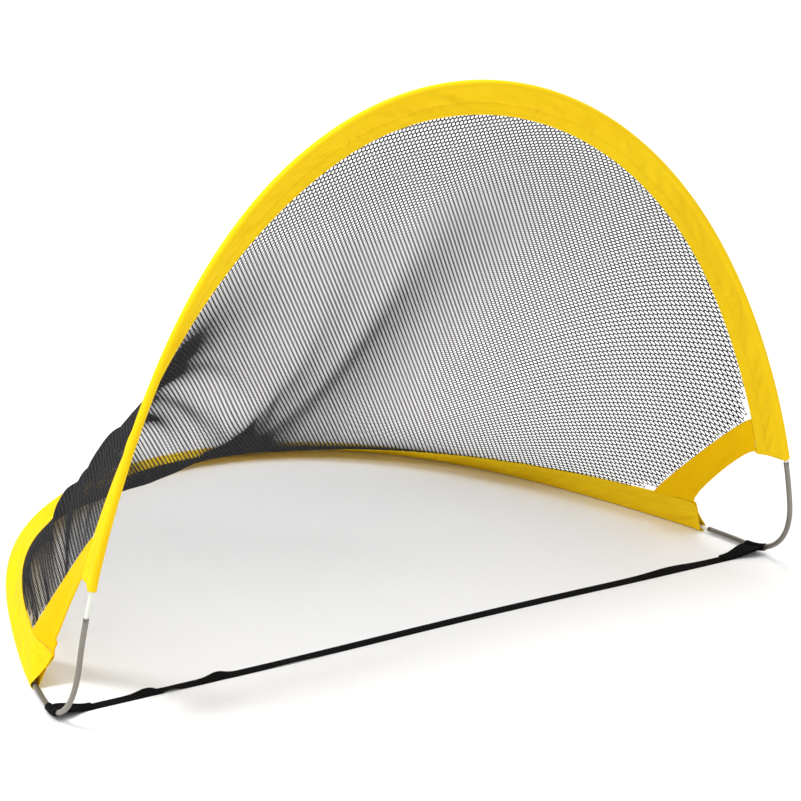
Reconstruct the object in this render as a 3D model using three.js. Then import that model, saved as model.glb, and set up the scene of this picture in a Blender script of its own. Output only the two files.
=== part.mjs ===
// A pop-up goal for garden football. One springy loop of rod forms two hoops: an upright front hoop
// round the mouth and a back hoop that lies on the ground. Bent steel tubes join them at the two
// front corners. A cloth sleeve runs along each hoop, a net fills the space between the sleeves,
// a cloth binding closes each end of the net, and a strap ties the two corners together.
// Millimetres. +X runs across the mouth, +Y into the goal and +Z up.

import * as THREE from 'three';

// ---- driving dimensions ----

const MOUTH_WIDTH = 900;        // between the axes of the corner tubes
const MOUTH_HEIGHT = 625;       // up the front hoop, from corner to crown
const GOAL_DEPTH = 650;         // from the corners to the far end of the back hoop
const FRONT_SHOULDER = 30;      // how far each hoop's shoulders lie inside an oval
const BACK_SHOULDER = 50;
const FRONT_LEAN = 1;           // degrees, crown towards the back
const FRONT_BOW = 14;           // forward bulge of the front hoop at half its height
const AXIS_HEIGHT = 5;          // of the rod's axis where it lies along the ground

const ROD_RADIUS = 2.2;
const ROD_INSERTION = 2.4;      // degrees of hoop that a rod's end reaches into a tube
const TUBE_RADIUS = 3.1;
const TUBE_BORE = 2.65;
const BEND_START = 9.8;         // degrees round either hoop where the tube's bend begins
const BEND_PULL = 46;           // how strongly the bend keeps the direction of each leg
const FRONT_TUBE_END = 16.4;    // degrees round the front hoop
const BACK_TUBE_END = 17.2;     // degrees round the back hoop

const SLEEVE_WIDTH = 37;        // rod axis to the edge that holds the net
const SLEEVE_RADIUS = 4.9;      // outside of the channel round the rod
const SLEEVE_BORE = 4;
const SLEEVE_CLOTH = 1.2;       // the flat part, folded double
const FRONT_SLEEVE_ENDS = [17, 159.8];      // degrees, from the right corner to the left
const BACK_SLEEVE_ENDS = [18.4, 163];

const NET_CLOTH = 1.2;
const NET_PULL = 0.85;          // 1 lets the net follow the sleeves' slope far into the goal
const TAUT_SHARE = 0.2;         // of the net's span, from each end, over which it gets slack
const SEAM_GAP = 0.9;
const BINDING_FRONT_SHARE = 0.036;          // of the net's span that a corner binding takes
const BINDING_BACK_SHARE = 0.049;
const BINDING_HOLLOW = 0.011;   // how far its free edge curves in
const BINDING_GAP = 0.002;

const STRAP_WIDTH = 15;
const STRAP_CLOTH = 1.4;
const LOOP_WIDTH = 30;          // along the tube
const LOOP_REACH = 45;          // from the tube's axis to the end of the sewn tail
const LOOP_CLOTH = 1.5;
const LOOP_TAIL = 3.2;          // thickness of the sewn tail
const LOOP_SLOPE = 15;          // over which the wrap runs down to the tail
const LOOP_CORNER = 3;
const LOOP_CLEARANCE = 0.4;
const LOOP_CENTRE = 60;         // behind the corner

// How the sleeves tilt about their rods, in degrees out of the hoop's own plane. The net is tight on
// the right and slack on the left. A side rises from the lowest tilt at the hoop's middle, from one
// share of the way to the corner to another.
const LOWEST_TILT = 15;
const FRONT_TILT = {
  right: { rise: 51, from: 0, to: 0.75 },
  left: { rise: 73, from: 0.22, to: 1.15 },
};
const BACK_TILT = {
  right: { rise: 59, from: 0.2, to: 1.15 },
  left: { rise: 61, from: 0.25, to: 0.85 },
};
const CUFF_DROP = 21;           // the back sleeve's left end lies down again by this much
const CUFF_SPAN = 7;            // over its last few degrees of hoop

const ROUND_SIDES = 8;
const HOOP_STEPS = 44;
const NET_STEPS = [36, 12];
const BINDING_STEPS = [2, 8];

// ---- materials ----

const FIBREGLASS = new THREE.MeshStandardMaterial({ color: 0xe6e5dc, roughness: 0.35, metalness: 0 });
const STEEL = new THREE.MeshStandardMaterial({ color: 0x8f8c85, roughness: 0.35, metalness: 1 });
const YELLOW_CLOTH = new THREE.MeshStandardMaterial({ color: 0xf5c518, roughness: 0.75, metalness: 0 });
const BLACK_NET = new THREE.MeshStandardMaterial({ color: 0x17171a, roughness: 0.8, metalness: 0 });
const BLACK_WEBBING = new THREE.MeshStandardMaterial({ color: 0x151516, roughness: 0.9, metalness: 0 });

// ---- hoops ----

const radians = THREE.MathUtils.degToRad;
const mix = THREE.MathUtils.lerp;
const UP = new THREE.Vector3(0, 0, 1);
const INTO_GOAL = new THREE.Vector3(0, 1, 0);
const ACROSS = new THREE.Vector3(1, 0, 0);

/** A point of a hoop in its own plane: x across, y out from the line between the corners. */
function archPoint(angle, rise, shoulder) {
  const a = radians(angle);
  const half = MOUTH_WIDTH / 2;
  const radius = half + (rise - half) * Math.sin(a) ** 2 - shoulder * Math.sin(2 * a) ** 2;
  return new THREE.Vector2(radius * Math.cos(a), radius * Math.sin(a));
}

/** Angles run from 0 at the right corner, over the hoop's middle at 90, to 180 at the left corner. */
const FRONT_HOOP = {
  normal: INTO_GOAL,
  tilt: FRONT_TILT,
  point(angle) {
    const { x, y } = archPoint(angle, MOUTH_HEIGHT, FRONT_SHOULDER);
    const lean = radians(FRONT_LEAN);
    const bow = FRONT_BOW * Math.sin(Math.PI * Math.min(y / MOUTH_HEIGHT, 1));
    return new THREE.Vector3(x, y * Math.sin(lean) - bow, y * Math.cos(lean) + AXIS_HEIGHT);
  },
};

const BACK_HOOP = {
  normal: UP,
  tilt: BACK_TILT,
  point(angle) {
    const { x, y } = archPoint(angle, GOAL_DEPTH, BACK_SHOULDER);
    return new THREE.Vector3(x, y, AXIS_HEIGHT);
  },
};

/** The hoop's direction of travel from right to left. */
function tangentAt(hoop, angle) {
  const step = 0.01;
  return hoop.point(angle + step).sub(hoop.point(angle - step)).normalize();
}

function tiltAt(hoop, angle) {
  const towardsCorner = Math.cos(radians(angle));
  const side = towardsCorner > 0 ? hoop.tilt.right : hoop.tilt.left;
  const share = THREE.MathUtils.smoothstep(Math.abs(towardsCorner), side.from, side.to);
  const cuffEnd = BACK_SLEEVE_ENDS[1];
  const cuff = hoop === BACK_HOOP ? THREE.MathUtils.smoothstep(angle, cuffEnd - CUFF_SPAN, cuffEnd) : 0;
  return radians(LOWEST_TILT + side.rise * share - CUFF_DROP * cuff);
}

/** Unit vector from the rod towards the net, square to the rod, in the sleeve's flat part. */
function netward(hoop, angle) {
  const tangent = tangentAt(hoop, angle);
  const normal = hoop.normal.clone().addScaledVector(tangent, -hoop.normal.dot(tangent)).normalize();
  const inward = hoop === FRONT_HOOP ? normal.clone().cross(tangent) : tangent.clone().cross(normal);
  if (inward.dot(hoop.point(angle)) > 0) inward.negate();
  const tilt = tiltAt(hoop, angle);
  return inward.multiplyScalar(Math.cos(tilt)).addScaledVector(normal, Math.sin(tilt));
}

// ---- solids ----

function closedMesh(name, material, positions, triangles) {
  const geometry = new THREE.BufferGeometry();
  const numbers = positions.flatMap((p) => p.toArray());
  geometry.setAttribute('position', new THREE.Float32BufferAttribute(numbers, 3));
  geometry.setIndex(triangles.flat());
  geometry.computeVertexNormals();
  const mesh = new THREE.Mesh(geometry, material);
  mesh.name = name;
  return mesh;
}

/** Sections along a path, each with two axes square to the path; first x second points forward. */
function stationsAlong(points, firstAxisAt) {
  return points.map((origin, i) => {
    const before = points[Math.max(i - 1, 0)];
    const after = points[Math.min(i + 1, points.length - 1)];
    const forward = after.clone().sub(before).normalize();
    const first = firstAxisAt(i).clone();
    first.addScaledVector(forward, -first.dot(forward)).normalize();
    return { origin, first, second: forward.clone().cross(first) };
  });
}

/** Sweeps a counter-clockwise outline, with a bore through it where one is given. */
function sweep(name, material, stations, outline, bore = []) {
  const section = [...outline, ...bore];
  const positions = stations.flatMap(({ origin, first, second }) => section.map((p) =>
    origin.clone().addScaledVector(first, p.x).addScaledVector(second, p.y)));
  const triangles = [];
  const wall = (start, count, inward) => {
    for (let s = 0; s < stations.length - 1; s += 1) {
      for (let k = 0; k < count; k += 1) {
        const a = s * section.length + start + k;
        const b = s * section.length + start + ((k + 1) % count);
        const c = a + section.length;
        const d = b + section.length;
        triangles.push(...(inward ? [[a, d, b], [a, c, d]] : [[a, b, d], [a, d, c]]));
      }
    }
  };
  wall(0, outline.length, false);
  wall(outline.length, bore.length, true);
  const last = (stations.length - 1) * section.length;
  const faces = THREE.ShapeUtils.triangulateShape(outline, bore.length ? [bore] : []);
  for (const face of faces) {
    const area = THREE.ShapeUtils.area(face.map((k) => section[k]));
    const [a, b, c] = area > 0 ? face : [...face].reverse();
    triangles.push([c, b, a], [a + last, b + last, c + last]);
  }
  return closedMesh(name, material, positions, triangles);
}

function circle(radius, sides = ROUND_SIDES) {
  return Array.from({ length: sides }, (_, k) => {
    const a = (2 * Math.PI * (k + 0.5)) / sides;
    return new THREE.Vector2(radius * Math.cos(a), radius * Math.sin(a));
  });
}

/** A thin closed sheet about the surface pointAt(i, j), for i up to columns and j up to rows. */
function sheet(name, material, pointAt, [columns, rows], thickness) {
  const grid = (i, j) => pointAt(i / columns, j / rows);
  const positions = [];
  for (const side of [0.5, -0.5]) {
    for (let i = 0; i <= columns; i += 1) {
      for (let j = 0; j <= rows; j += 1) {
        const along = grid(Math.min(i + 1, columns), j).sub(grid(Math.max(i - 1, 0), j));
        const down = grid(i, Math.min(j + 1, rows)).sub(grid(i, Math.max(j - 1, 0)));
        const normal = along.cross(down).normalize();
        positions.push(grid(i, j).addScaledVector(normal, side * thickness));
      }
    }
  }
  const under = (columns + 1) * (rows + 1);
  const at = (i, j) => i * (rows + 1) + j;
  const triangles = [];
  for (let i = 0; i < columns; i += 1) {
    for (let j = 0; j < rows; j += 1) {
      const [a, b, c, d] = [at(i, j), at(i + 1, j), at(i + 1, j + 1), at(i, j + 1)];
      triangles.push([a, b, c], [a, c, d]);
      triangles.push([a + under, c + under, b + under], [a + under, d + under, c + under]);
    }
  }
  const edge = (a, b) => triangles.push([a, b + under, b], [a, a + under, b + under]);
  for (let i = 0; i < columns; i += 1) {
    edge(at(i, 0), at(i + 1, 0));
    edge(at(i + 1, rows), at(i, rows));
  }
  for (let j = 0; j < rows; j += 1) {
    edge(at(0, j + 1), at(0, j));
    edge(at(columns, j), at(columns, j + 1));
  }
  return closedMesh(name, material, positions, triangles);
}

// ---- rods, tubes and sleeves ----

function hoopStations(hoop, from, to, firstAxisAt) {
  const angles = Array.from({ length: HOOP_STEPS + 1 }, (_, k) => mix(from, to, k / HOOP_STEPS));
  return stationsAlong(angles.map((angle) => hoop.point(angle)), (k) => firstAxisAt(angles[k]));
}

function rod(name, hoop, tubeEnd) {
  const start = tubeEnd - ROD_INSERTION;
  const stations = hoopStations(hoop, start, 180 - start, () => hoop.normal);
  return sweep(name, FIBREGLASS, stations, circle(ROD_RADIUS));
}

/** The tube's axis: down the front hoop, round the corner and along the back hoop. */
function cornerPath(side) {
  const onSide = (angle) => (side > 0 ? angle : 180 - angle);
  const at = (hoop, angle) => hoop.point(onSide(angle));
  const legSteps = 3;
  const bendSteps = 9;
  const leg = (hoop, from, to) => Array.from({ length: legSteps }, (_, k) => (
    at(hoop, mix(from, to, k / legSteps))));
  const pull = (hoop) => tangentAt(hoop, onSide(BEND_START)).multiplyScalar(-side * BEND_PULL);
  const top = at(FRONT_HOOP, BEND_START);
  const foot = at(BACK_HOOP, BEND_START);
  const bend = new THREE.CubicBezierCurve3(
    top, top.clone().add(pull(FRONT_HOOP)), foot.clone().add(pull(BACK_HOOP)), foot);
  return [
    ...leg(FRONT_HOOP, FRONT_TUBE_END, BEND_START),
    ...bend.getPoints(bendSteps),
    ...leg(BACK_HOOP, BACK_TUBE_END, BEND_START).reverse(),
  ];
}

function cornerTube(name, side) {
  const stations = stationsAlong(cornerPath(side), () => ACROSS);
  return sweep(name, STEEL, stations, circle(TUBE_RADIUS), circle(TUBE_BORE));
}

/** A channel round the rod that narrows into the flat part, which ends where the net starts. */
function sleeveOutline() {
  const channel = Array.from({ length: ROUND_SIDES - 1 }, (_, k) => {
    const a = (2 * Math.PI * (k + 1)) / ROUND_SIDES;
    return new THREE.Vector2(SLEEVE_RADIUS * Math.cos(a), SLEEVE_RADIUS * Math.sin(a));
  });
  const lower = new THREE.Vector2(SLEEVE_WIDTH, -SLEEVE_CLOTH / 2);
  const upper = new THREE.Vector2(SLEEVE_WIDTH, SLEEVE_CLOTH / 2);
  return [...channel, lower, upper];
}

function sleeve(name, hoop, [from, to]) {
  const stations = hoopStations(hoop, from, to, (angle) => netward(hoop, angle));
  return sweep(name, YELLOW_CLOTH, stations, sleeveOutline(), circle(SLEEVE_BORE));
}

// ---- net and corner bindings ----

/** The net hangs between the sleeves' edges, and leaves each in the sleeve's slope where it is slack. */
function netPoint(across, back) {
  const frontAngle = mix(FRONT_SLEEVE_ENDS[0], FRONT_SLEEVE_ENDS[1], across);
  const backAngle = mix(BACK_SLEEVE_ENDS[0], BACK_SLEEVE_ENDS[1], across);
  const leaving = netward(FRONT_HOOP, frontAngle);
  const arriving = netward(BACK_HOOP, backAngle);
  const start = FRONT_HOOP.point(frontAngle).addScaledVector(leaving, SLEEVE_WIDTH + SEAM_GAP);
  const end = BACK_HOOP.point(backAngle).addScaledVector(arriving, SLEEVE_WIDTH + SEAM_GAP);
  const slackness = THREE.MathUtils.smoothstep(Math.min(across, 1 - across), 0, TAUT_SHARE);
  const pull = (start.distanceTo(end) / 3) * NET_PULL * slackness;
  const first = start.clone().addScaledVector(leaving, pull);
  const second = end.clone().addScaledVector(arriving, pull);
  return new THREE.CubicBezierCurve3(start, first, second, end).getPoint(back);
}

/** Share of the net's span, from its end, where the net meets its corner binding. */
function bindingEdge(back) {
  return mix(BINDING_FRONT_SHARE, BINDING_BACK_SHARE, back);
}

function net() {
  const pointAt = (i, back) => {
    const edge = bindingEdge(back) + BINDING_GAP;
    return netPoint(mix(edge, 1 - edge, i), back);
  };
  return sheet('net', BLACK_NET, pointAt, NET_STEPS, NET_CLOTH);
}

function cornerBinding(name, side) {
  const pointAt = (i, back) => {
    const free = BINDING_HOLLOW * 4 * back * (1 - back);
    const sewn = bindingEdge(back);
    const share = side > 0 ? mix(free, sewn, i) : 1 - mix(sewn, free, i);
    return netPoint(share, back);
  };
  return sheet(name, YELLOW_CLOTH, pointAt, BINDING_STEPS, SLEEVE_CLOTH);
}

// ---- ground strap ----

/** Middle of the stretch of tube that a strap loop wraps, how far the tube strays from it, and its top. */
function loopSeat(side) {
  const near = cornerPath(side).filter((p) => Math.abs(p.y - LOOP_CENTRE) < LOOP_WIDTH);
  const box = new THREE.Box3().setFromPoints(near);
  return { x: (box.min.x + box.max.x) / 2, sway: (box.max.x - box.min.x) / 2, top: box.max.z };
}

/** A box's outline without its corners, counter-clockwise from the lower left. */
function cutCorners(left, bottom, right, top, cut) {
  return [
    [left + cut, bottom], [right - cut, bottom], [right, bottom + cut], [right, top - cut],
    [right - cut, top], [left + cut, top], [left, top - cut], [left, bottom + cut],
  ].map(([x, y]) => new THREE.Vector2(x, y));
}

/** Webbing wrapped once round the tube, with both its layers sewn down as a tail towards the middle. */
function strapLoop(name, side) {
  const seat = loopSeat(side);
  const halfHole = TUBE_RADIUS + LOOP_CLEARANCE + seat.sway;
  const holeTop = seat.top + TUBE_RADIUS + LOOP_CLEARANCE;
  const outer = halfHole + LOOP_CLOTH;
  const wrap = cutCorners(-outer, 0, outer, holeTop + LOOP_CLOTH, LOOP_CORNER);
  const tail = [
    new THREE.Vector2(LOOP_REACH, 0),
    new THREE.Vector2(LOOP_REACH, LOOP_TAIL),
    new THREE.Vector2(outer + LOOP_SLOPE, LOOP_TAIL),
  ];
  const shape = new THREE.Shape([wrap[0], ...tail, ...wrap.slice(3)]);
  const hole = cutCorners(-halfHole, LOOP_CLOTH, halfHole, holeTop, LOOP_CORNER / 2);
  shape.holes.push(new THREE.Path(hole));
  const geometry = new THREE.ExtrudeGeometry(shape, { depth: LOOP_WIDTH, bevelEnabled: false });
  geometry.translate(0, 0, -LOOP_WIDTH / 2);
  geometry.rotateX(Math.PI / 2);
  if (side > 0) geometry.rotateZ(Math.PI);
  const loop = new THREE.Mesh(geometry, BLACK_WEBBING);
  loop.name = name;
  loop.position.set(seat.x, LOOP_CENTRE, 0);
  return loop;
}

function groundStrap() {
  const tailEnd = loopSeat(1).x - LOOP_REACH - LOOP_CLEARANCE;
  const strap = new THREE.Mesh(new THREE.BoxGeometry(2 * tailEnd, STRAP_WIDTH, STRAP_CLOTH), BLACK_WEBBING);
  strap.name = 'ground_strap';
  strap.position.set(0, LOOP_CENTRE, STRAP_CLOTH / 2);
  return strap;
}

// ---- assembly ----

const frontHoop = new THREE.Group();
frontHoop.add(rod('front_rod', FRONT_HOOP, FRONT_TUBE_END));
frontHoop.add(sleeve('front_sleeve', FRONT_HOOP, FRONT_SLEEVE_ENDS));

const base = new THREE.Group();
base.add(rod('back_rod', BACK_HOOP, BACK_TUBE_END));
base.add(sleeve('back_sleeve', BACK_HOOP, BACK_SLEEVE_ENDS));
base.add(cornerTube('right_corner_tube', 1), cornerTube('left_corner_tube', -1));
base.add(strapLoop('right_strap_loop', 1), strapLoop('left_strap_loop', -1));
base.add(groundStrap());

const cloth = new THREE.Group();
cloth.add(net());
cloth.add(cornerBinding('right_corner_binding', 1), cornerBinding('left_corner_binding', -1));

const group = new THREE.Group();
group.add(frontHoop, base, cloth);

// The origin lies on the ground under the middle of the goal's box.
group.updateMatrixWorld(true);
const box = new THREE.Box3().setFromObject(group, true);
const middle = box.getCenter(new THREE.Vector3());
group.position.set(-middle.x, -middle.y, -box.min.z);

export default group;
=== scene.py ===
"""The looks and fine meshes of a pop-up goal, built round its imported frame.

The goal is one springy loop of glass fibre rod that makes an upright front hoop and a back hoop on
the ground. Steel tubes join the hoops at the front corners. Cloth sleeves run along the rods, a
knitted net fills the space between them, a cloth binding closes each end of the net, and a webbing
strap ties the corners together. Everything is in metres, with +X across the mouth, +Y into the goal
and +Z up.
"""

from __future__ import annotations

import logging
import math
from collections.abc import Sequence
from dataclasses import dataclass
from enum import Enum

import bpy
import numpy as np
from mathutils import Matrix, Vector

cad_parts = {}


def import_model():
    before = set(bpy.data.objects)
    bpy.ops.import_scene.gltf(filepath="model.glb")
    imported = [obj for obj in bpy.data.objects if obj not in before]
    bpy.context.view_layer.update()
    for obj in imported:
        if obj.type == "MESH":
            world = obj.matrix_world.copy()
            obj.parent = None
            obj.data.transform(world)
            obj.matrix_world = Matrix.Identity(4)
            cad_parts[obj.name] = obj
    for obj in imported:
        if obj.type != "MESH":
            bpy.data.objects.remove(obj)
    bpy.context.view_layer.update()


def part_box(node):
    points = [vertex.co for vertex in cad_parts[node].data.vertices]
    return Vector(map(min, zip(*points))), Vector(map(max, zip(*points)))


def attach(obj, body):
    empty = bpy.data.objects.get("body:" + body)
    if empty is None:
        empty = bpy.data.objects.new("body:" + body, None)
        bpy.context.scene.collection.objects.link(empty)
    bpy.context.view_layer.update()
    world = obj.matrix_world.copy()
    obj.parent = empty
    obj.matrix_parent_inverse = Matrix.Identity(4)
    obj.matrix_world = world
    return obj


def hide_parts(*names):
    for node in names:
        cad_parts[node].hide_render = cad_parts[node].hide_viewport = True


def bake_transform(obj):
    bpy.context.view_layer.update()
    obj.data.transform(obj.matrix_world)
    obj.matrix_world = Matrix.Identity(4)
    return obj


LOG = logging.getLogger("pop_up_goal")

BASE = "base"
FRONT = "front_hoop"
MM = 0.001

# The step that a hoop's direction is worked out over, in degrees.
STEP_DEGREES = 0.01

Value = float | np.ndarray


class Slot(Enum):
    """The record's material slots."""

    FIBREGLASS = "fibreglass"
    STEEL = "steel_tube"
    YELLOW = "yellow_polyester"
    NET = "black_net"
    WEBBING = "black_webbing"


class Side(Enum):
    """A side of the goal, seen from in front, and its sign along +X."""

    RIGHT = 1
    LEFT = -1

    @property
    def label(self) -> str:
        """The word that starts the names of pieces on this side."""
        return self.name.lower()


# ---- vectors ----


def dot(a: np.ndarray, b: np.ndarray) -> np.ndarray:
    """Row by row dot products, kept as a column."""
    return (a * b).sum(-1, keepdims=True)


def unit(a: np.ndarray) -> np.ndarray:
    """Rows scaled to length one."""
    return a / np.linalg.norm(a, axis=-1, keepdims=True)


def mix(a: Value, b: Value, share: Value) -> Value:
    """The value that lies a share of the way from a to b."""
    return a + (b - a) * share


def smooth(value: np.ndarray, low: float, high: float) -> np.ndarray:
    """Rises smoothly from 0 at low to 1 at high."""
    t = np.clip((value - low) / (high - low), 0, 1)
    return t * t * (3 - 2 * t)


def bump(value: np.ndarray, centre: Value, width: Value) -> np.ndarray:
    """A rounded hill of height one."""
    return np.exp(-(((value - centre) / width) ** 2))


def bezier(
    start: np.ndarray, leaving: np.ndarray, arriving: np.ndarray, end: np.ndarray, t: np.ndarray
) -> np.ndarray:
    """Points of a cubic curve, from its two ends and the pull at each of them."""
    return (
        (1 - t) ** 3 * start
        + 3 * (1 - t) ** 2 * t * (start + leaving)
        + 3 * (1 - t) * t**2 * (end + arriving)
        + t**3 * end
    )


def flat_cross(a: np.ndarray, b: np.ndarray) -> np.ndarray:
    """Row by row cross products of flat vectors."""
    return a[:, 0] * b[:, 1] - a[:, 1] * b[:, 0]


def run_along(path: np.ndarray) -> np.ndarray:
    """The distance along a path at each of its points."""
    return np.concatenate([[0], np.cumsum(np.linalg.norm(np.diff(path, axis=0), axis=1))])


# ---- mesh code ----


def new_object(name: str, data: bpy.types.ID) -> bpy.types.Object:
    """Makes an object that holds the data given, linked to the scene."""
    made = bpy.data.objects.new(name, data)
    bpy.context.scene.collection.objects.link(made)
    return made


def mesh_object(
    name: str,
    points: np.ndarray,
    faces: np.ndarray | Sequence[Sequence[int]],
    material: bpy.types.Material | None,
) -> bpy.types.Object:
    """Makes a smooth-shaded piece at the origin.

    Args:
        name: the piece's name.
        points: one row for each vertex, in metres.
        faces: rows of vertex numbers, counter-clockwise seen from outside.
        material: its material.

    Returns:
        The new object, linked to the scene.
    """
    mesh = bpy.data.meshes.new(name)
    mesh.from_pydata(np.asarray(points, float).tolist(), [], [list(map(int, f)) for f in faces])
    mesh.update()
    mesh.shade_smooth()
    if material is not None:
        mesh.materials.append(material)
    piece = new_object(name, mesh)
    return piece


def grid_faces(rows: int, columns: int, closed: bool = False, flip: bool = False) -> np.ndarray:
    """Quads of a grid whose vertices are numbered row by row.

    Args:
        rows: rows of vertices.
        columns: vertices in a row.
        closed: joins the last column to the first.
        flip: turns the faces over.
    """
    last = columns if closed else columns - 1
    i, k = np.meshgrid(np.arange(rows - 1), np.arange(last), indexing="ij")
    a = i * columns + k
    b = i * columns + (k + 1) % columns
    quads = np.stack([a, b, b + columns, a + columns], axis=-1).reshape(-1, 4)
    return quads[:, ::-1] if flip else quads


def ring_frames(path: np.ndarray, first: np.ndarray) -> tuple[np.ndarray, np.ndarray]:
    """Two axes square to a path at each of its points; first cross second points forward."""
    forward = unit(np.gradient(path, axis=0))
    one = unit(first - forward * dot(first, forward))
    return one, np.cross(forward, one)


def sweep(path: np.ndarray, first: np.ndarray, outline: np.ndarray) -> np.ndarray:
    """Carries an outline along a path.

    Args:
        path: points of the path, (n, 3).
        first: the direction of the outline's first coordinate at each point, (n, 3).
        outline: the outline's points, (m, 2), or (n, m, 2) where it changes along the path.

    Returns:
        The swept points, (n * m, 3), row by row.
    """
    one, two = ring_frames(path, first)
    shape = np.broadcast_to(outline, (len(path), outline.shape[-2], 2))
    points = path[:, None] + shape[..., :1] * one[:, None] + shape[..., 1:] * two[:, None]
    return points.reshape(-1, 3)


def circle(radius: float, sides: int) -> np.ndarray:
    """Points round a circle, counter-clockwise."""
    a = np.arange(sides) * 2 * math.pi / sides
    return radius * np.stack([np.cos(a), np.sin(a)], axis=-1)


def evaluated_mesh(piece: bpy.types.Object) -> bpy.types.Mesh:
    """A plain mesh of a piece as its modifiers show it."""
    evaluated = piece.evaluated_get(bpy.context.evaluated_depsgraph_get())
    return bpy.data.meshes.new_from_object(evaluated)


def thicken(piece: bpy.types.Object, thickness: float, offset: float) -> None:
    """Turns a sheet of faces into cloth with a thickness.

    Args:
        piece: the sheet.
        thickness: the cloth's thickness, in metres.
        offset: -1 to thicken inwards from the faces, 0 to thicken both ways.
    """
    modifier = piece.modifiers.new("Solidify", "SOLIDIFY")
    modifier.thickness = thickness
    modifier.offset = offset
    modifier.use_even_offset = False
    mesh = evaluated_mesh(piece)
    mesh.name = piece.name
    piece.modifiers.clear()
    piece.data = mesh


# ---- node trees ----


class Tree:
    """A node tree that is written out node by node."""

    def __init__(self, tree: bpy.types.NodeTree) -> None:
        """Takes the tree to write in."""
        self.tree = tree

    def node(
        self, kind: str, inputs: dict[str | int, object] | None = None, **values: object
    ) -> bpy.types.Node:
        """Adds a node.

        Args:
            kind: the node's type.
            inputs: for each input, a socket to link from or a plain value.
            values: the node's own settings.

        Returns:
            The new node.
        """
        node = self.tree.nodes.new(kind)
        for name, value in values.items():
            setattr(node, name, value)
        for name, value in (inputs or {}).items():
            if isinstance(value, bpy.types.NodeSocket):
                self.link(value, node.inputs[name])
            else:
                node.inputs[name].default_value = value
        return node

    def first(
        self, kind: str, inputs: dict[str | int, object] | None = None, **values: object
    ) -> bpy.types.NodeSocket:
        """Adds a node and returns its first output."""
        return self.node(kind, inputs, **values).outputs[0]

    def calculate(self, operation: str, *values: float | bpy.types.NodeSocket) -> bpy.types.NodeSocket:
        """Adds a maths node for the values given and returns its result."""
        return self.first("ShaderNodeMath", dict(enumerate(values)), operation=operation)

    def link(self, output: bpy.types.NodeSocket, entry: bpy.types.NodeSocket) -> None:
        """Links an output to an input."""
        self.tree.links.new(output, entry)

    def socket(self, name: str, way: str, kind: str, value: object = None) -> str:
        """Adds a socket to the tree's interface, and returns its identifier."""
        socket = self.tree.interface.new_socket(name, in_out=way, socket_type=kind)
        if value is not None:
            socket.default_value = value
        return socket.identifier


class GeometryTree(Tree):
    """A Geometry Nodes tree with named inputs, run on a piece and then removed."""

    def __init__(self, name: str, inputs: dict[str, tuple[str, object]]) -> None:
        """Starts a tree.

        Args:
            name: the tree's name.
            inputs: for each named input, its kind and its value.
        """
        super().__init__(bpy.data.node_groups.new(name, "GeometryNodeTree"))
        self.socket("Geometry", "INPUT", "NodeSocketGeometry")
        self.socket("Geometry", "OUTPUT", "NodeSocketGeometry")
        self.identifiers = {
            key: self.socket(key, "INPUT", kind, value) for key, (kind, value) in inputs.items()
        }
        self.input = self.node("NodeGroupInput").outputs

    def end(self, geometry: bpy.types.NodeSocket, material: bpy.types.Material | None = None) -> None:
        """Ends the tree with real geometry that carries its material."""
        real = self.first("GeometryNodeRealizeInstances", {"Geometry": geometry})
        if material is not None:
            real = self.first("GeometryNodeSetMaterial", {"Geometry": real, "Material": material})
        self.node("NodeGroupOutput", {"Geometry": real})

    def run(self, piece: bpy.types.Object, name: str, **values: float | int) -> bpy.types.Mesh:
        """Runs the tree on a piece.

        Args:
            piece: the piece that the tree starts from, which keeps its own mesh.
            name: the new mesh's name.
            values: inputs that differ from the tree's own values, by name.

        Returns:
            The plain mesh that the tree makes.
        """
        modifier = piece.modifiers.new(name, "NODES")
        modifier.node_group = self.tree
        for key, value in values.items():
            modifier[self.identifiers[key]] = value
        mesh = evaluated_mesh(piece)
        mesh.name = name
        piece.modifiers.remove(modifier)
        return mesh


def piece_from(mesh: bpy.types.Mesh) -> bpy.types.Object:
    """Makes a piece of a finished mesh."""
    mesh.shade_smooth()
    piece = new_object(mesh.name, mesh)
    return piece


# ---- shader groups ----


class ShaderGroup(Tree):
    """A shader node group with named inputs and outputs."""

    def __init__(self, name: str, inputs: dict[str, tuple[str, object]], outputs: dict[str, str]) -> None:
        """Starts a group.

        Args:
            name: the group's name.
            inputs: for each named input, its kind and its value.
            outputs: for each named output, its kind.
        """
        super().__init__(bpy.data.node_groups.new(name, "ShaderNodeTree"))
        for key, (kind, value) in inputs.items():
            self.socket(key, "INPUT", kind, value)
        for key, kind in outputs.items():
            self.socket(key, "OUTPUT", kind)
        self.input = self.node("NodeGroupInput").outputs

    def end(self, **results: bpy.types.NodeSocket) -> bpy.types.NodeTree:
        """Links the group's outputs and returns the finished group."""
        self.node("NodeGroupOutput", dict(results))
        return self.tree


FLOAT = "NodeSocketFloat"
COLOUR = "NodeSocketColor"
VECTOR = "NodeSocketVector"


def weave_group() -> bpy.types.NodeTree:
    """The height of a plain weave, from waves along three axes."""
    group = ShaderGroup(
        "plain_weave",
        {"Vector": (VECTOR, None), "Threads per metre": (FLOAT, 2500.0)},
        {"Height": FLOAT},
    )
    scaled = group.first(
        "ShaderNodeVectorMath",
        {0: group.input["Vector"], "Scale": group.input["Threads per metre"]},
        operation="SCALE",
    )
    parts = group.node("ShaderNodeSeparateXYZ", {"Vector": scaled}).outputs
    waves = []
    for axis in "XYZ":
        turned = group.calculate("MULTIPLY", parts[axis], 2 * math.pi)
        waves.append(group.calculate("SINE", turned))
    both = group.calculate("MULTIPLY", waves[0], waves[1])
    return group.end(Height=group.calculate("MULTIPLY_ADD", waves[2], 0.5, both))


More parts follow.
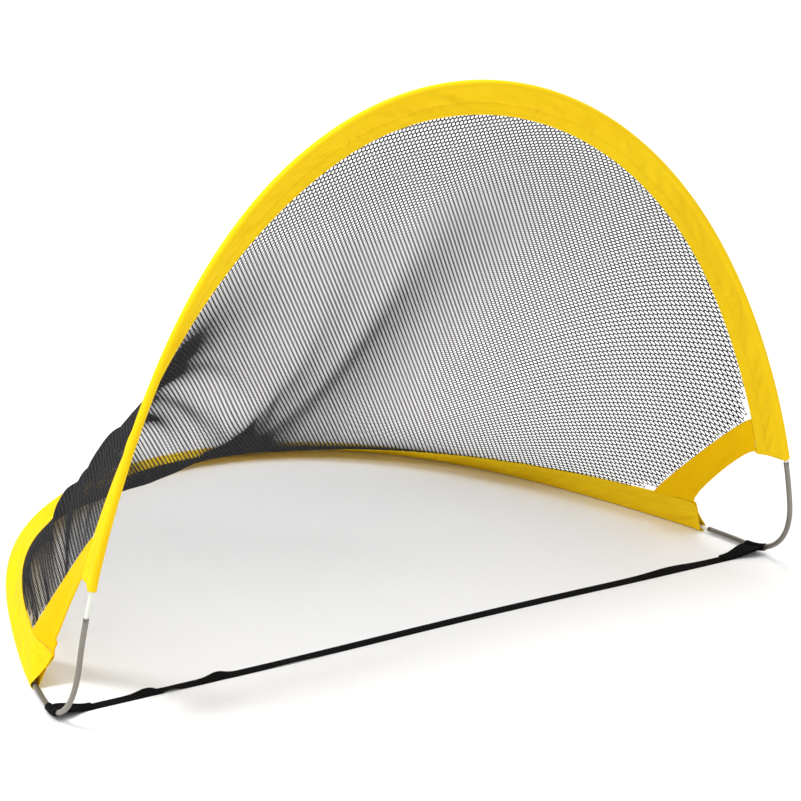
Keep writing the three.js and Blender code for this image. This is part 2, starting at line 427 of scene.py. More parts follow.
def mottle_group() -> bpy.types.NodeTree:
    """Slow unevenness of dye and handling: two colours mixed by noise."""
    group = ShaderGroup(
        "mottle",
        {
            "Vector": (VECTOR, None),
            "Scale": (FLOAT, 12.0),
            "Light": (COLOUR, (1, 1, 1, 1)),
            "Dark": (COLOUR, (0, 0, 0, 1)),
            "Contrast": (FLOAT, 0.5),
        },
        {"Colour": COLOUR},
    )
    given = group.input
    noise = group.first(
        "ShaderNodeTexNoise", {"Vector": given["Vector"], "Scale": given["Scale"], "Detail": 4.0}
    )
    share = group.calculate("MULTIPLY", noise, given["Contrast"])
    colour = group.first(
        "ShaderNodeMixRGB", {"Fac": share, "Color1": given["Light"], "Color2": given["Dark"]}
    )
    return group.end(Colour=colour)


@dataclass(frozen=True)
class Look:
    """The values of one finish; colours are linear."""

    light: tuple[float, float, float]
    dark: tuple[float, float, float]
    contrast: float
    mottle_scale: float
    roughness: float
    threads: float
    relief: float
    relief_depth: float
    metallic: float = 0.0
    sheen: float = 0.0
    specular: float = 0.4
    light_let_in: float = 0.0
    coat: float = 0.0


YELLOW_CLOTH = Look(
    (0.93, 0.665, 0.010), (0.88, 0.53, 0.004), 0.9, 14, 0.8, 1500, 0.12, 0.15 * MM, specular=0.1
)
# The bindings are the same yellow cloth as the sleeves; their darker, more orange colour here is painted
# shade.
BINDING_CLOTH_PAINTED_SHADE = Look(
    (0.92, 0.57, 0.001), (0.86, 0.46, 0.001), 0.8, 14, 0.8, 1500, 0.12, 0.15 * MM, specular=0.05
)
NET_CLOTH = Look(
    (0.010, 0.010, 0.012), (0.017, 0.017, 0.019), 0.6, 60, 0.75, 1800, 0.5, 0.2 * MM, specular=0.2
)
WEBBING_CLOTH = Look(
    (0.005, 0.005, 0.005), (0.011, 0.010, 0.010), 0.6, 40, 0.85, 620, 0.8, 0.5 * MM, specular=0.06
)
THREAD = Look((0.70, 0.40, 0.004), (0.60, 0.30, 0.002), 0.5, 80, 0.6, 3000, 0.3, 0.05 * MM, specular=0.2)
STEEL_TUBE = Look(
    (0.30, 0.28, 0.245), (0.12, 0.11, 0.095), 0.8, 22, 0.32, 900, 0.15, 0.05 * MM, metallic=1.0
)
ROD_RESIN = Look(
    (0.80, 0.81, 0.74), (0.66, 0.68, 0.58), 0.5, 30, 0.3, 1500, 0.1, 0.05 * MM,
    light_let_in=0.4, coat=0.3,
)

# How deep light goes into the rods' resin, for red, green and blue.
RESIN_DEPTH = (2 * MM, 2 * MM, 1.6 * MM)

# The steel's dull patches: how much finer than its mottle, and from what to what of its roughness.
PATCH_FINENESS = 3
PATCH_RANGE = (0.75, 1.3)


class Finishes:
    """The goal's materials, which share the groups for weave and mottle."""

    def __init__(self) -> None:
        """Builds the shared groups and every material."""
        self.weave = weave_group()
        self.mottle = mottle_group()
        self.yellow = self.cloth("yellow_polyester", YELLOW_CLOTH)
        # Same cloth as the sleeves, given a darker colour that is painted shade.
        self.binding = self.cloth("yellow_binding_painted_shade", BINDING_CLOTH_PAINTED_SHADE)
        self.net = self.cloth("black_net", NET_CLOTH)
        self.webbing = self.ribbed("black_webbing", WEBBING_CLOTH)
        self.yellow_thread = self.cloth("yellow_thread", THREAD)
        self.steel = self.drawn_metal("drawn_steel", STEEL_TUBE)
        self.fibreglass = self.resin("glass_fibre", ROD_RESIN)

    def start(
        self, name: str, look: Look
    ) -> tuple[bpy.types.Material, Tree, bpy.types.Node, bpy.types.NodeSocket]:
        """Starts a material and its mottled colour.

        Returns:
            The material, its tree, its shader, and the coordinates that its patterns read.
        """
        material = bpy.data.materials.new(name)
        material.use_nodes = True
        tree = Tree(material.node_tree)
        shader = material.node_tree.nodes["Principled BSDF"]
        place = tree.node("ShaderNodeTexCoord").outputs["Object"]
        mottle = tree.node("ShaderNodeGroup", node_tree=self.mottle)
        values = {
            "Scale": look.mottle_scale,
            "Light": (*look.light, 1),
            "Dark": (*look.dark, 1),
            "Contrast": look.contrast,
        }
        for key, value in values.items():
            mottle.inputs[key].default_value = value
        tree.link(place, mottle.inputs["Vector"])
        tree.link(mottle.outputs["Colour"], shader.inputs["Base Color"])
        shader.inputs["Roughness"].default_value = look.roughness
        shader.inputs["Metallic"].default_value = look.metallic
        return material, tree, shader, place

    @staticmethod
    def raise_surface(tree: Tree, shader: bpy.types.Node, height: bpy.types.NodeSocket, look: Look) -> None:
        """Feeds a height to the shader's normal."""
        raised = tree.first(
            "ShaderNodeBump", {"Strength": look.relief, "Distance": look.relief_depth, "Height": height}
        )
        tree.link(raised, shader.inputs["Normal"])

    def weave_over(
        self, tree: Tree, shader: bpy.types.Node, place: bpy.types.NodeSocket, look: Look
    ) -> None:
        """Puts a weave in relief and a cloth's soft shine on a shader."""
        weave = tree.node("ShaderNodeGroup", node_tree=self.weave)
        weave.inputs["Threads per metre"].default_value = look.threads
        tree.link(place, weave.inputs["Vector"])
        self.raise_surface(tree, shader, weave.outputs["Height"], look)
        shader.inputs["Sheen Weight"].default_value = look.sheen
        shader.inputs["Specular IOR Level"].default_value = look.specular

    @staticmethod
    def noise(tree: Tree, place: bpy.types.NodeSocket, scale: float, detail: float) -> bpy.types.NodeSocket:
        """Noise over the coordinates given."""
        return tree.first("ShaderNodeTexNoise", {"Vector": place, "Scale": scale, "Detail": detail})

    def cloth(self, name: str, look: Look) -> bpy.types.Material:
        """Woven cloth or thread: a weave in relief over an uneven dye."""
        material, tree, shader, place = self.start(name, look)
        self.weave_over(tree, shader, place, look)
        return material

    def ribbed(self, name: str, look: Look) -> bpy.types.Material:
        """Webbing: ribs across its own width, from the piece's UV map, over an uneven dye."""
        material, tree, shader, _ = self.start(name, look)
        self.weave_over(tree, shader, tree.node("ShaderNodeUVMap", uv_map="webbing").outputs[0], look)
        return material

    def drawn_metal(self, name: str, look: Look) -> bpy.types.Material:
        """Drawn steel tube: fine lines along the tube and a patchy dullness."""
        material, tree, shader, place = self.start(name, look)
        lines = self.noise(tree, place, look.threads, 3.0)
        self.raise_surface(tree, shader, lines, look)
        patches = self.noise(tree, place, look.mottle_scale * PATCH_FINENESS, 5.0)
        least, most = (look.roughness * share for share in PATCH_RANGE)
        rough = tree.first("ShaderNodeMapRange", {"Value": patches, "To Min": least, "To Max": most})
        tree.link(rough, shader.inputs["Roughness"])
        return material

    def resin(self, name: str, look: Look) -> bpy.types.Material:
        """Glass fibre rod: pale resin that lets a little light in, with fine fibres along it."""
        material, tree, shader, place = self.start(name, look)
        fibres = self.noise(tree, place, look.threads, 2.0)
        self.raise_surface(tree, shader, fibres, look)
        shader.inputs["Subsurface Weight"].default_value = look.light_let_in
        shader.inputs["Subsurface Radius"].default_value = RESIN_DEPTH
        shader.inputs["Coat Weight"].default_value = look.coat
        return material


# ---- hoops ----


@dataclass(frozen=True)
class Tilt:
    """How a side of a sleeve tilts out of its hoop's plane, from the hoop's middle to the corner."""

    rise: float
    begins: float
    ends: float


@dataclass(frozen=True)
class Hoop:
    """One hoop of rod and the sleeve along it; lengths in metres and angles in degrees."""

    name: str
    rise: float
    shoulder: float
    upright: bool
    tube_end: float
    sleeve_ends: tuple[float, float]
    right: Tilt
    left: Tilt
    half_width: float = 0.45
    axis_height: float = 5 * MM
    lean: float = 1.0
    bow: float = 14 * MM
    lowest_tilt: float = 15.0
    cuff_drop: float = 0.0
    cuff_span: float = 7.0

    def point(self, angle: np.ndarray) -> np.ndarray:
        """The rod's axis at an angle from the right corner; y is 0 on the line between the corners."""
        a = np.radians(np.asarray(angle, float))
        swell = (self.rise - self.half_width) * np.sin(a) ** 2 - self.shoulder * np.sin(2 * a) ** 2
        radius = self.half_width + swell
        x, y = radius * np.cos(a), radius * np.sin(a)
        if not self.upright:
            return np.stack([x, y, np.full_like(x, self.axis_height)], axis=-1)
        lean = math.radians(self.lean)
        bow = self.bow * np.sin(math.pi * np.minimum(y / self.rise, 1))
        return np.stack([x, y * math.sin(lean) - bow, y * math.cos(lean) + self.axis_height], axis=-1)

    def tangent(self, angle: np.ndarray) -> np.ndarray:
        """The hoop's direction from right to left."""
        angle = np.asarray(angle, float)
        return unit(self.point(angle + STEP_DEGREES) - self.point(angle - STEP_DEGREES))

    def tilt(self, angle: np.ndarray) -> np.ndarray:
        """The sleeve's tilt about the rod, in radians."""
        aside = np.cos(np.radians(np.asarray(angle, float)))
        right = self.right.rise * smooth(np.abs(aside), self.right.begins, self.right.ends)
        left = self.left.rise * smooth(np.abs(aside), self.left.begins, self.left.ends)
        last = self.sleeve_ends[1]
        cuff = self.cuff_drop * smooth(np.asarray(angle, float), last - self.cuff_span, last)
        return np.radians(self.lowest_tilt + np.where(aside > 0, right, left) - cuff)

    def netward(self, angle: np.ndarray) -> np.ndarray:
        """Unit vector from the rod towards the net, square to the rod, in the sleeve's flat part."""
        tangent = self.tangent(angle)
        plane = np.array([0.0, 1.0, 0.0] if self.upright else [0.0, 0.0, 1.0])
        normal = unit(plane - tangent * dot(plane, tangent))
        inward = np.cross(normal, tangent) if self.upright else np.cross(tangent, normal)
        inward = np.where(dot(inward, self.point(angle)) > 0, -inward, inward)
        tilt = self.tilt(angle)[..., None]
        return inward * np.cos(tilt) + normal * np.sin(tilt)

    def angles(self, start: float, end: float, step: float) -> np.ndarray:
        """Angles at equal distances along the rod, about a step in metres apart."""
        fine = np.linspace(start, end, 2000)
        run = run_along(self.point(fine))
        count = max(2, int(round(run[-1] / step)) + 1)
        return np.interp(np.linspace(0, run[-1], count), run, fine)


FRONT_HOOP = Hoop(
    "front", 625 * MM, 30 * MM, True, 16.4, (17.0, 159.8), Tilt(51, 0, 0.75), Tilt(73, 0.22, 1.15)
)
BACK_HOOP = Hoop(
    "back", 650 * MM, 50 * MM, False, 17.2, (18.4, 163.0), Tilt(59, 0.2, 1.15), Tilt(61, 0.25, 0.85),
    cuff_drop=21.0,
)
HOOP_BODIES = ((FRONT_HOOP, FRONT), (BACK_HOOP, BASE))


@dataclass
class Goal:
    """Where the goal stands in the frame, and the sizes that its pieces share."""

    corner_line: float = 0.0
    sleeve_width: float = 37 * MM
    seam_gap: float = 0.9 * MM
    strap_behind: float = 60 * MM

    def __post_init__(self) -> None:
        """Finds the line between the corners from the ground strap."""
        low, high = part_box("ground_strap")
        self.corner_line = (low.y + high.y) / 2 - self.strap_behind

    def place(self, points: np.ndarray) -> np.ndarray:
        """Moves points from the corners' line to the frame."""
        return np.asarray(points, float) + np.array([0.0, self.corner_line, 0.0])


# ---- rods and tubes ----


@dataclass
class Rods:
    """The glass fibre rods, which plug into the corner tubes."""

    goal: Goal
    radius: float = 2.2 * MM
    insertion: float = 2.4
    step: float = 6 * MM
    sides: int = 20
    end_length: float = 0.5
    end_radius: float = 0.6
    bend: tuple[float, float] = (-4 * MM, 24 * MM)

    def build(self, hoop: Hoop, material: bpy.types.Material) -> bpy.types.Object:
        """Makes one hoop's rod, with rounded ends."""
        start = hoop.tube_end - self.insertion
        angles = hoop.angles(start, 180 - start, self.step)
        path = self.goal.place(hoop.point(angles))
        ends = unit(np.stack([path[0] - path[1], path[-1] - path[-2]])) * self.radius * self.end_length
        path = np.vstack([path[0] + ends[0], path[0], path[1:-1], path[-1], path[-1] + ends[1]])
        first = np.tile([0.0, 1.0, 0.0] if hoop.upright else [0.0, 0.0, 1.0], (len(path), 1))
        scale = np.ones((len(path), 1, 1))
        scale[[0, -1]] = self.end_radius
        points = sweep(path, first, circle(self.radius, self.sides) * scale)
        faces = grid_faces(len(path), self.sides, closed=True).tolist()
        last = len(points) - self.sides
        faces.append(list(range(self.sides))[::-1])
        faces.append(list(range(last, len(points))))
        return mesh_object(f"{hoop.name}_glass_fibre_rod", points, faces, material)


@dataclass
class CornerTubes:
    """The bent steel tubes, one at each front corner."""

    goal: Goal
    radius: float = 3.1 * MM
    bore: float = 2.65 * MM
    bend_start: float = 9.8
    bend_pull: float = 46 * MM
    rim: float = 0.25 * MM
    rim_inset: float = 0.97
    sides: int = 32
    leg_steps: int = 10
    bend_steps: int = 36

    def path(self, side: Side) -> np.ndarray:
        """The tube's axis: down the front hoop, round the corner and along the back hoop."""

        def on_side(angle: float | np.ndarray) -> np.ndarray:
            return np.asarray(angle if side is Side.RIGHT else 180 - np.asarray(angle), float)

        def leg(hoop: Hoop) -> np.ndarray:
            shares = np.linspace(hoop.tube_end, self.bend_start, self.leg_steps, endpoint=False)
            return hoop.point(on_side(shares))

        top, foot = (hoop.point(on_side(self.bend_start)) for hoop in (FRONT_HOOP, BACK_HOOP))
        pulls = [
            hoop.tangent(on_side(self.bend_start)) * -side.value * self.bend_pull
            for hoop in (FRONT_HOOP, BACK_HOOP)
        ]
        t = np.linspace(0, 1, self.bend_steps + 1)[:, None]
        bend = bezier(top, pulls[0], pulls[1], foot, t)
        return self.goal.place(np.vstack([leg(FRONT_HOOP), bend, leg(BACK_HOOP)[::-1]]))

    def build(self, side: Side, material: bpy.types.Material) -> bpy.types.Object:
        """Makes one tube as a closed wall with rounded rims."""
        path = self.path(side)
        first = np.tile([1.0, 0.0, 0.0], (len(path), 1))
        outer = sweep(path, first, circle(self.radius, self.sides)).reshape(len(path), self.sides, 3)
        inner = sweep(path, first, circle(self.bore, self.sides)).reshape(len(path), self.sides, 3)
        axis = path[:, None]
        narrow = 1 - self.rim / self.radius
        forward = unit(np.stack([path[0] - path[1], path[-1] - path[-2]])) * self.rim
        wide = 1 + self.rim / self.bore
        rings = [
            axis[0] + (outer[0] - axis[0]) * narrow + forward[0],
            *outer,
            axis[-1] + (outer[-1] - axis[-1]) * narrow + forward[1],
            axis[-1] + (inner[-1] - axis[-1]) * wide * self.rim_inset + forward[1],
            *inner[::-1],
            axis[0] + (inner[0] - axis[0]) * wide * self.rim_inset + forward[0],
        ]
        points = np.concatenate(rings)
        faces = grid_faces(len(rings), self.sides, closed=True).tolist()
        last = len(points) - self.sides
        k = np.arange(self.sides)
        after = (k + 1) % self.sides
        faces += np.stack([last + k, last + after, after, k], axis=-1).tolist()
        return mesh_object(f"{side.label}_steel_tube", points, faces, material)


# ---- sleeves ----


@dataclass(frozen=True)
class Creases:
    """A scatter of soft ridges across a sleeve: how many, how big, and where over its width."""

    count: int
    width: tuple[float, float]
    height: float
    skew: tuple[float, float]
    centre: float
    spread: float

    def lift(self, run: np.ndarray, out: np.ndarray, rng: np.random.Generator) -> np.ndarray:
        """The ridges' height at a distance along the sleeve and out from the rod."""
        lift = np.zeros(np.broadcast(run, out).shape)
        for place in rng.uniform(run.min(), run.max(), self.count):
            width = rng.uniform(*self.width)
            skew = rng.uniform(*self.skew)
            height = self.height * rng.uniform(-1, 1)
            line = run - place - skew * (out - self.centre)
            lift += height * bump(line, 0, width)
        return lift * bump(out, self.centre, self.spread)


@dataclass
class Sleeves:
    """The yellow sleeves: cloth folded round the rod and stitched, with the net sewn in its edge."""

    goal: Goal
    nose: float = 4.7 * MM
    stitch_at: float = 23 * MM
    hem_from: float = 33.2 * MM
    flat_half: float = 0.75 * MM
    hem_half: float = 1.15 * MM
    cloth: float = 0.45 * MM
    cuff: float = 9 * MM
    step: float = 2.1 * MM
    stitch: float = 3.0 * MM
    stitch_gap: float = 0.9 * MM
    stitch_radius: float = 0.28 * MM
    stitch_dip: float = 0.35 * MM
    stitch_dip_width: float = 0.9 * MM
    edge_steps: tuple[float, ...] = (0.0, 0.3 * MM, 1.0 * MM, 2.2 * MM)
    edge_half: tuple[float, float] = (0.35 * MM, 0.85 * MM)
    nose_turns: tuple[float, ...] = (0, 18, 36, 54, 70, 82)
    taper: float = 1.25
    sway_from: float = 14 * MM
    calm_end: float = 12 * MM
    thinnest: float = 0.3 * MM
    cuff_extra: float = 0.3 * MM
    cuff_slope: float = 0.6 * MM
    cuff_line: float = 0.2 * MM
    cuff_line_width: float = 0.8 * MM
    sways: Creases = Creases(34, (12 * MM, 34 * MM), 1.4 * MM, (-1.2, 1.2), 16 * MM, 16 * MM)
    folds: Creases = Creases(120, (5 * MM, 12 * MM), 3.0 * MM, (-2.4, -0.6), 14 * MM, 10 * MM)
    puckers: Creases = Creases(360, (1.4 * MM, 3.0 * MM), 1.1 * MM, (-0.9, 0.2), 23 * MM, 5 * MM)

    def section(self) -> tuple[np.ndarray, np.ndarray]:
        """Distances out from the rod along one face, from the edge to the nose, and half thicknesses."""
        edge = self.goal.sleeve_width - np.array(self.edge_steps)
        middle = np.linspace(self.hem_from - 0.8 * MM, self.stitch_at + 1.2 * MM, 7)
        stitched = self.stitch_at + np.array([0.5, 0, -0.5]) * MM
        channel = np.linspace(self.stitch_at - 1.5 * MM, 1 * MM, 12)
        nose = -self.nose * np.sin(np.radians(self.nose_turns))
        out = np.concatenate([edge, [self.hem_from], middle, stitched, channel, nose])
        taper = np.clip(1 - out / self.stitch_at, 0, 1)
        half = self.flat_half + (self.nose - self.flat_half) * taper**self.taper
        half = np.where(out < 0, np.sqrt(np.maximum(self.nose**2 - out**2, 0)), half)
        half = np.where(out > self.hem_from - 1e-9, self.hem_half, half)
        half[:2] = self.edge_half
        half -= self.stitch_dip * bump(out, self.stitch_at, self.stitch_dip_width)
        return out, half

    def faces_of(self, hoop: Hoop, seed: int) -> tuple[np.ndarray, np.ndarray]:
        """Both faces of a sleeve as grids of points."""
        rng = np.random.default_rng(seed)
        angles = hoop.angles(*hoop.sleeve_ends, self.step)
        path = hoop.point(angles)
        out, half = self.section()
        run = run_along(path)
        one, two = ring_frames(path, hoop.netward(angles))
        s, u = run[:, None], out[None, :]
        sway = self.sways.lift(s, u, rng) * smooth(u, 0, self.sway_from)
        sway = sway * (1 - smooth(u, self.stitch_at, self.hem_from))
        end = np.minimum(s, run[-1] - s)
        cuff = self.cuff_extra * (1 - smooth(end, self.cuff - self.cuff_slope, self.cuff))
        cuff = cuff - self.cuff_line * bump(end, self.cuff, self.cuff_line_width)
        sides = []
        for sign in (1, -1):
            folds = self.folds.lift(s, u, rng) * smooth(u, -3 * MM, 6 * MM)
            puckers = self.puckers.lift(s, u, rng)
            quiet = 1 - smooth(u, self.hem_from - 3 * MM, self.hem_from)
            uneven = (folds + puckers) * quiet * smooth(end, 0, self.calm_end)
            thick = np.maximum(half[None, :] + uneven, self.thinnest)
            thick = np.where(u < -self.nose * 0.9, half[None, :], thick) + cuff
            lift = sway + sign * thick
            grid = path[:, None] + u[..., None] * one[:, None] + lift[..., None] * two[:, None]
            sides.append(self.goal.place(grid))
        return sides[0], sides[1]

    def build(self, hoop: Hoop, material: bpy.types.Material, seed: int) -> bpy.types.Object:
        """Makes one sleeve as a skin round the rod, given the cloth's thickness inwards."""
        top, bottom = self.faces_of(hoop, seed)
        grid = np.concatenate([top, bottom[:, ::-1]], axis=1)
        rows, columns = grid.shape[:2]
        piece = mesh_object(
            f"{hoop.name}_hoop_sleeve", grid.reshape(-1, 3), grid_faces(rows, columns), material
        )
        thicken(piece, self.cloth, -1.0)
        return piece

    def stitches(self, hoop: Hoop, tree: GeometryTree, seed: int) -> bpy.types.Object:
        """Sews a row of stitches on each face, along the stitched line."""
        out, _ = self.section()
        at = int(np.argmin(np.abs(out - self.stitch_at)))
        lines = [face[3:-3, at] for face in self.faces_of(hoop, seed)]
        count = len(lines[0])
        starts = [first + i for first in (0, count) for i in range(count - 1)]
        mesh = bpy.data.meshes.new("stitch_line")
        mesh.from_pydata(np.concatenate(lines).tolist(), [(i, i + 1) for i in starts], [])
        line = new_object("stitch_line", mesh)
        sewn = tree.run(line, f"{hoop.name}_sleeve_stitches")
        bpy.data.objects.remove(line)
        return piece_from(sewn)


def stitch_tree(sleeves: Sleeves, material: bpy.types.Material) -> GeometryTree:
    """Geometry Nodes that lay short round-ended stitches along lines."""
    tree = GeometryTree(
        "stitches_along_lines",
        {
            "Length": (FLOAT, sleeves.stitch),
            "Gap": (FLOAT, sleeves.stitch_gap),
            "Radius": (FLOAT, sleeves.stitch_radius),
        },
    )
    given = tree.input
    curve = tree.first("GeometryNodeMeshToCurve", {"Mesh": given["Geometry"]})
    pitch = tree.calculate("ADD", given["Length"], given["Gap"])
    points = tree.node("GeometryNodeCurveToPoints", {"Curve": curve, "Length": pitch}, mode="LENGTH").outputs
    stitch = tree.first("GeometryNodeMeshUVSphere", {"Segments": 6, "Rings": 4, "Radius": 0.5})
    thin = tree.calculate("MULTIPLY", given["Radius"], 2.0)
    scale = tree.first("ShaderNodeCombineXYZ", {"X": thin, "Y": thin, "Z": given["Length"]})
    laid = tree.first(
        "GeometryNodeInstanceOnPoints",
        {"Points": points["Points"], "Instance": stitch, "Rotation": points["Rotation"], "Scale": scale},
    )
    tree.end(laid, material)
    return tree


# ---- net ----


@dataclass(frozen=True)
class Ripple:
    """Waves in the slack net: their height, how many from front to back, their skew and their phase."""

    height: float
    count: float
    skew: float
    phase: float


RIPPLES = (
    Ripple(6.0 * MM, 5.2, 0.9, 0.10),
    Ripple(3.4 * MM, 9.3, 1.4, 0.45),
    Ripple(1.4 * MM, 15.0, 1.9, 0.70),
)


@dataclass
class NetShape:
    """The surface that the net and the corner bindings lie on."""

    goal: Goal
    pull: float = 0.85
    taut_share: float = 0.2
    binding_front: float = 0.036
    binding_back: float = 0.049
    binding_hollow: float = 0.011
    bunch_across: tuple[float, float] = (0.70, 0.10)
    bunch_back: tuple[float, float] = (0.65, 0.16)
    slack_left: float = 0.22
    ripple_pivot: float = 0.75

    def edges(self, across: np.ndarray) -> tuple[np.ndarray, np.ndarray, np.ndarray, np.ndarray]:
        """The net's two sewn edges, and the slopes at which it leaves them."""
        front = mix(*FRONT_HOOP.sleeve_ends, across)
        back = mix(*BACK_HOOP.sleeve_ends, across)
        leaving, arriving = FRONT_HOOP.netward(front), BACK_HOOP.netward(back)
        reach = self.goal.sleeve_width + self.goal.seam_gap
        start, end = FRONT_HOOP.point(front) + leaving * reach, BACK_HOOP.point(back) + arriving * reach
        return start, end, leaving, arriving

    def smooth_point(self, across: np.ndarray, back: np.ndarray) -> np.ndarray:
        """A point of the net as it hangs without creases."""
        start, end, leaving, arriving = self.edges(across)
        slack = smooth(np.minimum(across, 1 - np.asarray(across, float)), 0, self.taut_share)[..., None]
        pull = np.linalg.norm(start - end, axis=-1, keepdims=True) / 3 * self.pull * slack
        t = np.asarray(back, float)[..., None]
        return self.goal.place(bezier(start, leaving * pull, arriving * pull, end, t))

    def creases(self, across: np.ndarray, back: np.ndarray) -> np.ndarray:
        """How far the slack net stands out of its smooth surface, along the surface's normal."""
        edge = smooth(back, 0.0, 0.08) * (1 - smooth(back, 0.92, 1.0))
        edge = edge * smooth(across, 0.03, 0.10) * (1 - smooth(across, 0.93, 0.98))
        bunched = bump(across, *self.bunch_across) * bump(back, *self.bunch_back)
        slack = bunched + self.slack_left * smooth(across, 0.55, 0.9) * smooth(back, 0.2, 0.7)
        waves = np.zeros(np.broadcast(across, back).shape)
        for ripple in RIPPLES:
            along = back + ripple.skew * (across - self.ripple_pivot)
            waves = waves + ripple.height * np.sin(2 * math.pi * (ripple.count * along + ripple.phase))
        return edge * waves * slack

    def point(self, across: np.ndarray, back: np.ndarray) -> np.ndarray:
        """A point of the net with its creases."""
        small = 1e-3
        along = self.smooth_point(across + small, back) - self.smooth_point(across - small, back)
        down = self.smooth_point(across, back + small) - self.smooth_point(across, back - small)
        normal = unit(np.cross(down, along))
        return self.smooth_point(across, back) + normal * self.creases(across, back)[..., None]

    def binding_edge(self, back: np.ndarray) -> np.ndarray:
        """Share of the net's span, from its end, where it meets a corner binding."""
        return mix(self.binding_front, self.binding_back, back)


@dataclass
class Net:
    """The knitted net: six-sided meshes laid flat, dropped on the net's surface and given thickness."""

    shape: NetShape
    pitch: float = 4.9 * MM
    hole: float = 0.76
    thread: float = 0.55 * MM
    panels: int = 28
    tucked: float = 7 * MM
    spare_meshes: float = 1.5
    under_binding: float = 0.010
    fold_start: float = 0.75
    rounds: int = 14
    longest_step: float = 0.08
    close_enough: float = 0.2 * MM
    sewn_within: float = 0.03

    def flat_axes(self) -> np.ndarray:
        """Across, down the slope and out of the plane that the net is laid on."""
        slope = math.sqrt(0.5)
        return np.array([[1, 0, 0], [0, -slope, slope], [0, slope, slope]], float)

    def laid(self, across: np.ndarray, back: np.ndarray) -> np.ndarray:
        """Where a point of the uncreased net lies in the laying plane."""
        return self.shape.smooth_point(across, back) @ self.flat_axes()[:2].T

    def lattice(self) -> tuple[np.ndarray, np.ndarray]:
        """The centres of the flat net's meshes.

        Returns:
            Places in the laying plane, (n, 2), and the row and column numbers, (n, 2).
        """
        axes = self.flat_axes()
        a, b = np.meshgrid(np.linspace(-0.02, 1.02, 80), np.linspace(-0.02, 1.02, 60), indexing="ij")
        flat = self.shape.smooth_point(a, b) @ axes.T
        low, high = flat.reshape(-1, 3).min(0), flat.reshape(-1, 3).max(0)
        row_step = self.pitch * math.sqrt(3) / 2
        rows = np.arange(int((high[1] - low[1]) / row_step) + 1)
        columns = np.arange(int((high[0] - low[0]) / self.pitch) + 2)
        r, c = (g.ravel() for g in np.meshgrid(rows, columns, indexing="ij"))
        places = np.stack([low[0] + (c + 0.5 * (r % 2)) * self.pitch, low[1] + r * row_step], axis=-1)
        return places, np.stack([r, c], axis=-1)

    def drop(self, places: np.ndarray) -> np.ndarray:
        """The net's own coordinates under each flat place, found by Newton's method.

        Args:
            places: places in the laying plane, (n, 2).

        Returns:
            Shares across and back, (n, 2), not a number where the net doesn't reach.
        """
        a, b = np.meshgrid(np.linspace(0, 1, 50), np.linspace(-0.01, 1.01, 40), indexing="ij")
        known = np.stack([a.ravel(), b.ravel()], axis=-1)
        seen = self.laid(known[:, 0], known[:, 1])
        nearest = np.concatenate(
            [((part[:, None] - seen[None]) ** 2).sum(-1).argmin(1) for part in np.array_split(places, 40)]
        )
        at = known[nearest].copy()
        small = 1e-4
        for _ in range(self.rounds):
            here = self.laid(at[:, 0], at[:, 1])
            over = (self.laid(at[:, 0] + small, at[:, 1]) - here) / small
            down = (self.laid(at[:, 0], at[:, 1] + small) - here) / small
            miss = places - here
            turn = flat_cross(over, down)
            turn = np.where(np.abs(turn) < 1e-6, 1e-6, turn)
            move = np.stack([flat_cross(miss, down), flat_cross(over, miss)], axis=-1) / turn[:, None]
            at = np.clip(at + np.clip(move, -self.longest_step, self.longest_step), -0.15, 1.15)
        missed = np.linalg.norm(self.laid(at[:, 0], at[:, 1]) - places, axis=1) > self.close_enough
        near = known[nearest]
        beside = np.linalg.norm(seen[nearest] - places, axis=1) < self.spare_meshes * self.pitch
        sewn = missed & beside & ((near[:, 1] < self.sewn_within) | (near[:, 1] > 1 - self.sewn_within))
        at[missed] = np.nan
        at[sewn, 0] = near[sewn, 0]
        at[sewn, 1] = np.where(near[sewn, 1] < 0.5, -1.0, 2.0)
        return at

    def base(self) -> bpy.types.Object:
        """The lattice of mesh centres as triangles, with each centre's panel number."""
        places, numbers = self.lattice()
        at = self.drop(places)
        span = np.linalg.norm(np.subtract(*self.shape.edges(at[:, 0])[:2]), axis=-1)
        spare = self.tucked / np.maximum(span, 1 * MM)
        beyond = np.linalg.norm(self.laid(at[:, 0], np.clip(at[:, 1], 0, 1)) - places, axis=1)
        edge = self.shape.binding_edge(at[:, 1]) - self.under_binding
        with np.errstate(invalid="ignore"):
            inside = (beyond < self.spare_meshes * self.pitch) & (at[:, 0] > edge) & (at[:, 0] < 1 - edge)
        at[:, 1] = np.clip(at[:, 1], -spare, 1 + spare)
        index = np.full(numbers.max(0) + 2, -1)
        index[tuple(numbers[inside].T)] = np.arange(inside.sum())
        points = self.shape.point(at[inside, 0], at[inside, 1])
        r, c = numbers[inside].T
        odd = r % 2
        here, beside = index[r, c], index[r, c + 1]
        above_left = index[r + 1, np.maximum(c + odd - 1, 0)]
        above_right = index[r + 1, c + odd]
        first = (c + odd - 1) < 0
        up = np.stack([here, beside, above_right], axis=-1)
        down = np.stack([here, above_right, above_left], axis=-1)[~first]
        triangles = np.vstack([up, down])
        triangles = triangles[(triangles >= 0).all(1)]
        piece = mesh_object("net_lattice", points, triangles, None)
        panel = np.clip((at[inside, 0] * self.panels).astype(np.int32), 0, self.panels - 1)
        piece.data.attributes.new("panel", "INT", "POINT").data.foreach_set("value", panel)
        return piece

